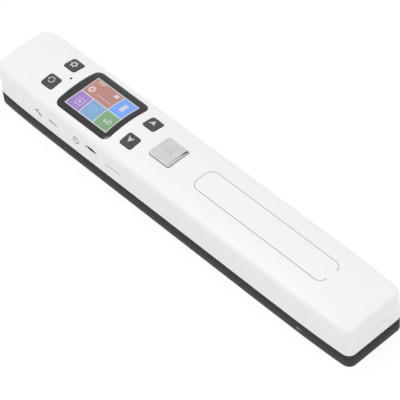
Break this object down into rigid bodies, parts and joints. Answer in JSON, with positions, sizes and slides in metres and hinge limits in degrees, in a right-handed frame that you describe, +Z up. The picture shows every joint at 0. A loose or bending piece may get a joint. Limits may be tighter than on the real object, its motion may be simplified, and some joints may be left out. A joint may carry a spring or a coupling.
{
  "type": "handheld document scanner",
  "caption": "Wand-shaped handheld document scanner: crowned housing with screen and sprung keys over a dark base with scan window, rollers and encoder gears.",
  "frame": {"origin": "on the page under the middle of the scanner, level with the lowest line of the rollers and glides", "axes": "+X along the body, away from the screen and keys; +Y to the long side over the rollers; -Y to the long side with the connector, power key and card slot; +Z up through the keys"},
  "size_m": [0.257, 0.039, 0.0307],
  "materials": {
    "white_plastic": "satin white moulding",
    "dark_plastic": "fine matte grey-black moulding",
    "inner_plastic": "plain grey moulding",
    "key_plastic": "satin black moulding",
    "silver_paint": "silver sprayed key",
    "dark_lens": "polished dark acrylic",
    "clear_glass": "clear float glass",
    "clear_plastic": "clear moulding",
    "board_green": "green solder mask",
    "chip_black": "black moulding",
    "plated_steel": "plated steel",
    "bronze": "sintered bronze",
    "tyre_rubber": "ground rubber",
    "gear_plastic": "natural acetal",
    "glide_plastic": "slippery black moulding",
    "cell_wrap": "blue shrink film",
    "flex_film": "amber film",
    "wire_red": "insulated wire"
  },
  "bodies": {
    "case": {"top_housing": "white_plastic", "base_cover": "dark_plastic", "scan_glass": "clear_glass", "sensor_housing": "inner_plastic", "rod_lens_array": "chip_black", "light_guide": "clear_plastic", "sensor_board": "board_green", "sensor_flex": "flex_film", "inner_chassis": "inner_plastic", "main_board": "board_green", "usb_connector": "plated_steel", "card_socket": "plated_steel", "power_switch": "chip_black", "board_header": "chip_black", "battery": "cell_wrap", "battery_lead": "wire_red", "key_board": "board_green", "display_bracket": "inner_plastic", "display_module": "chip_black", "screen_lens": "dark_lens", "indicator_light_pipe": "clear_plastic", "back_switch": "chip_black", "menu_switch": "chip_black", "down_switch": "chip_black", "up_switch": "chip_black", "scan_switch": "chip_black", "left_bush": "bronze", "right_bush": "bronze", "gear_bush": "bronze", "slot_sensor": "chip_black", "encoder_board": "board_green", "left_glide": "glide_plastic", "right_glide": "glide_plastic", "housing_screw_1": "plated_steel", "housing_screw_2": "plated_steel", "housing_screw_3": "plated_steel", "housing_screw_4": "plated_steel", "chassis_screw_1": "plated_steel", "chassis_screw_2": "plated_steel", "main_board_screw_1": "plated_steel", "main_board_screw_2": "plated_steel", "encoder_board_screw": "plated_steel", "key_board_screw_1": "plated_steel", "key_board_screw_2": "plated_steel"},
    "back_key": {"back_key": "key_plastic"},
    "menu_key": {"menu_key": "key_plastic"},
    "down_key": {"down_key": "key_plastic"},
    "up_key": {"up_key": "key_plastic"},
    "scan_key": {"scan_key": "silver_paint"},
    "power_key": {"power_key": "white_plastic"},
    "rollers": {"roller_shaft": "plated_steel", "left_roller_hub": "gear_plastic", "right_roller_hub": "gear_plastic", "left_roller_tyre": "tyre_rubber", "right_roller_tyre": "tyre_rubber", "roller_gear": "gear_plastic"},
    "encoder": {"encoder_arbor": "plated_steel", "encoder_pinion": "gear_plastic", "encoder_disc": "chip_black"}
  },
  "joints": [
    {"name": "back_key_press", "type": "slide", "parent": "case", "child": "back_key", "axis": [0, 0, -1], "range_m": [0, 0.0005], "stiffness_N_per_m": 2000},
    {"name": "menu_key_press", "type": "slide", "parent": "case", "child": "menu_key", "axis": [0, 0, -1], "range_m": [0, 0.0005], "stiffness_N_per_m": 2000},
    {"name": "down_key_press", "type": "slide", "parent": "case", "child": "down_key", "axis": [0, 0, -1], "range_m": [0, 0.0005], "stiffness_N_per_m": 2000},
    {"name": "up_key_press", "type": "slide", "parent": "case", "child": "up_key", "axis": [0, 0, -1], "range_m": [0, 0.0005], "stiffness_N_per_m": 2000},
    {"name": "scan_key_press", "type": "slide", "parent": "case", "child": "scan_key", "axis": [0, 0, -1], "range_m": [0, 0.0005], "stiffness_N_per_m": 2000},
    {"name": "power_key_press", "type": "slide", "parent": "case", "child": "power_key", "axis": [0, 1, 0], "range_m": [0, 0.0005], "stiffness_N_per_m": 2000},
    {"name": "roller_spin", "type": "hinge", "parent": "case", "child": "rollers", "pos_m": [0, 0.012, 0.0048], "axis": [1, 0, 0], "continuous": true},
    {"name": "encoder_spin", "type": "hinge", "parent": "case", "child": "encoder", "pos_m": [0, 0.012, 0.0104], "axis": [1, 0, 0], "continuous": true}
  ],
  "couplings": [
    {"joint": "encoder_spin", "follows": "roller_spin", "ratio": -1.8}
  ]
}
